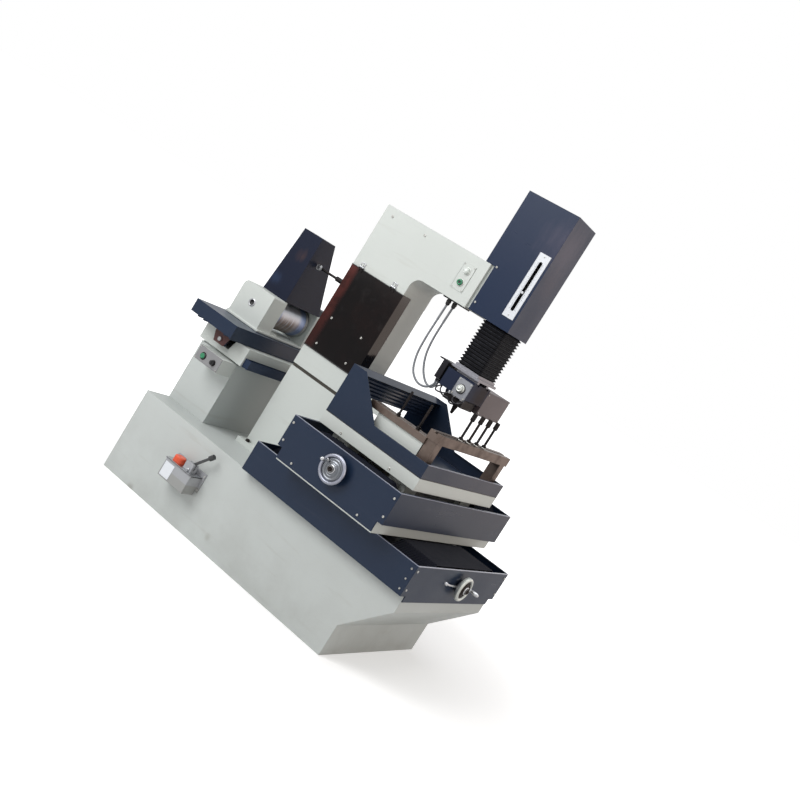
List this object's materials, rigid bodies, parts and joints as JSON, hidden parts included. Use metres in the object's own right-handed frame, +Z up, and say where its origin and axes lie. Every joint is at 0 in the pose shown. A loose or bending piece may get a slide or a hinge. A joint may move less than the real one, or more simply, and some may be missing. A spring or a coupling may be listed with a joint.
{
  "type": "wire electrical discharge machine",
  "caption": "C-frame wire EDM machine with cross table, water tank, bellows taper head, handwheels and a traversing wire drum.",
  "frame": {"origin": "middle of the bed's foot, on the floor", "axes": "+X along the bed towards the table end, +Y away from the side with the Y handwheel, +Z up"},
  "size_m": [1.7215, 1.2565, 2.035],
  "materials": {
    "casting": "satin cream-green machine enamel",
    "navy": "fine-textured dark blue enamel",
    "steel": "ground steel with a fine grain",
    "black": "matt black",
    "smoke": "smoked acrylic sheet",
    "blue": "satin blue enamel",
    "grey": "satin grey enamel",
    "green": "glossy green",
    "orange": "glossy orange",
    "white": "translucent white lens",
    "bellows": "matt black coated fabric",
    "hose": "soft grey hose",
    "insulator": "dark laminated board",
    "chrome": "polished"
  },
  "bodies": {
    "frame": {"bed": "casting", "lower_trough": "navy", "x_ways": "steel", "column_base": "casting", "insulating_plate": "insulator", "c_frame": "casting", "guide_rod": "black", "arm_panel": "casting", "arm_lamp": "white", "hose_glands": "black", "lower_arm": "casting", "z_base": "casting", "z_cover": "navy", "z_scale": "white", "z_motor": "black", "drum_pedestal": "casting", "way_base": "casting", "side_tray": "blue", "control_box": "casting", "oil_pump": "steel", "oil_cap": "orange", "bellows": "bellows", "head_hoses": "hose"},
    "saddle": {"saddle_casting": "casting", "saddle_trough": "navy", "y_ways": "steel"},
    "x_drive": {"x_screw": "steel", "x_handwheel": "chrome"},
    "x_handle": {"x_grip": "chrome"},
    "table": {"table_casting": "casting", "water_tank": "navy", "clamp_rails": "steel", "clamp_bolts": "black"},
    "y_drive": {"y_screw": "steel", "y_handwheel": "chrome"},
    "y_handle": {"y_grip": "chrome"},
    "z_slide_body": {"z_ram": "steel", "head_plate": "grey", "u_motor": "black"},
    "z_drive": {"z_screw": "steel"},
    "u_body": {"u_block": "blue", "head_box": "grey"},
    "v_knob_body": {"v_knob": "chrome"},
    "v_body": {"v_carriage": "steel"},
    "wheel_top": {"guide_wheel_top": "steel"},
    "wheel_low": {"guide_wheel_low": "steel"},
    "wheel_rod": {"rod_wheel": "steel"},
    "wheel_upper": {"upper_wheel": "steel"},
    "wheel_lower": {"lower_wheel": "steel"},
    "drum_slide": {"drum_carriage": "navy", "drum_brackets": "casting", "drum_hood": "navy", "drum_motor": "black"},
    "drum": {"wire_drum": "steel"},
    "traverse_drive": {"traverse_screw": "steel"},
    "chamber_door": {"smoked_cover": "smoke"},
    "arm_push": {"arm_button": "green"},
    "box_push": {"box_button": "green"},
    "box_turn": {"box_knob": "black"},
    "lever": {"pump_lever": "black"}
  },
  "joints": [
    {"name": "saddle_slide", "type": "slide", "parent": "frame", "child": "saddle", "axis": [1, 0, 0], "range_m": [-0.095, 0.16]},
    {"name": "table_slide", "type": "slide", "parent": "saddle", "child": "table", "axis": [0, 1, 0], "range_m": [-0.124, 0.23]},
    {"name": "x_screw_turn", "type": "hinge", "parent": "frame", "child": "x_drive", "pos_m": [0.9, 0, 0.475], "axis": [1, 0, 0], "range_deg": [-8560, 14410]},
    {"name": "x_grip_spin", "type": "hinge", "parent": "x_drive", "child": "x_handle", "pos_m": [0.92, 0.03447, 0.48108], "axis": [1, 0, 0], "continuous": true},
    {"name": "y_screw_turn", "type": "hinge", "parent": "saddle", "child": "y_drive", "pos_m": [0.419, -0.6, 0.672], "axis": [0, 1, 0], "range_deg": [-11170, 20710]},
    {"name": "y_grip_spin", "type": "hinge", "parent": "y_drive", "child": "y_handle", "pos_m": [0.38306, -0.62, 0.69275], "axis": [0, -1, 0], "continuous": true},
    {"name": "z_slide", "type": "slide", "parent": "frame", "child": "z_slide_body", "axis": [0, 0, 1], "range_m": [-0.065, 0.125], "deforming": ["bellows", "head_hoses"]},
    {"name": "z_screw_turn", "type": "hinge", "parent": "frame", "child": "z_drive", "pos_m": [0.362, 0, 1.7], "axis": [0, 0, 1], "range_deg": [-4690, 9010]},
    {"name": "u_slide", "type": "slide", "parent": "z_slide_body", "child": "u_body", "axis": [1, 0, 0], "range_m": [-0.012, 0.012]},
    {"name": "v_slide", "type": "slide", "parent": "u_body", "child": "v_body", "axis": [0, 1, 0], "range_m": [-0.012, 0.012]},
    {"name": "v_knob_turn", "type": "hinge", "parent": "u_body", "child": "v_knob_body", "pos_m": [0.4615, -0.11, 1.174], "axis": [0, 1, 0], "range_deg": [-4330, 4330]},
    {"name": "top_wheel_spin", "type": "hinge", "parent": "frame", "child": "wheel_top", "pos_m": [-0.06, -0.0837, 1.319], "axis": [0, 1, 0], "continuous": true},
    {"name": "low_wheel_spin", "type": "hinge", "parent": "frame", "child": "wheel_low", "pos_m": [-0.06, -0.0837, 1.01], "axis": [0, 1, 0], "continuous": true},
    {"name": "rod_wheel_spin", "type": "hinge", "parent": "frame", "child": "wheel_rod", "pos_m": [-0.515, -0.046, 1.275], "axis": [0, 1, 0], "continuous": true},
    {"name": "upper_wheel_spin", "type": "hinge", "parent": "v_body", "child": "wheel_upper", "pos_m": [0.418, 0, 1.116], "axis": [0, 1, 0], "continuous": true},
    {"name": "lower_wheel_spin", "type": "hinge", "parent": "frame", "child": "wheel_lower", "pos_m": [0.418, 0, 0.89], "axis": [0, 1, 0], "continuous": true},
    {"name": "traverse_slide", "type": "slide", "parent": "frame", "child": "drum_slide", "axis": [0, 1, 0], "range_m": [-0.085, 0.085]},
    {"name": "traverse_screw_turn", "type": "hinge", "parent": "drum_slide", "child": "traverse_drive", "pos_m": [-0.572, 0, 0.776], "axis": [0, 1, 0], "range_deg": [-7660, 7660]},
    {"name": "drum_spin", "type": "hinge", "parent": "drum_slide", "child": "drum", "pos_m": [-0.626, 0.05, 0.979], "axis": [0, 1, 0], "continuous": true},
    {"name": "cover_hinge", "type": "hinge", "parent": "frame", "child": "chamber_door", "pos_m": [-0.17, -0.124, 1.384], "axis": [-1, 0, 0], "range_deg": [0, 100]},
    {"name": "arm_button_press", "type": "slide", "parent": "frame", "child": "arm_push", "axis": [0, 1, 0], "range_m": [0, 0.004], "stiffness_N_per_m": 400, "springref_m": -0.002},
    {"name": "box_button_press", "type": "slide", "parent": "frame", "child": "box_push", "axis": [0, 1, 0], "range_m": [0, 0.004], "stiffness_N_per_m": 400, "springref_m": -0.002},
    {"name": "box_knob_turn", "type": "hinge", "parent": "frame", "child": "box_turn", "pos_m": [-0.505, -0.39, 0.676], "axis": [0, 1, 0], "range_deg": [-90, 90]},
    {"name": "pump_lever_pull", "type": "hinge", "parent": "frame", "child": "lever", "pos_m": [-0.255, -0.476, 0.278], "axis": [0, 1, 0], "range_deg": [-35, 45]}
  ],
  "couplings": [
    {"joint": "x_screw_turn", "follows": "saddle_slide", "rad_per_m": 1570.8},
    {"joint": "y_screw_turn", "follows": "table_slide", "rad_per_m": 1570.8},
    {"joint": "z_screw_turn", "follows": "z_slide", "rad_per_m": 1256.6},
    {"joint": "v_knob_turn", "follows": "v_slide", "rad_per_m": 6283.2},
    {"joint": "traverse_screw_turn", "follows": "traverse_slide", "rad_per_m": 1570.8}
  ]
}
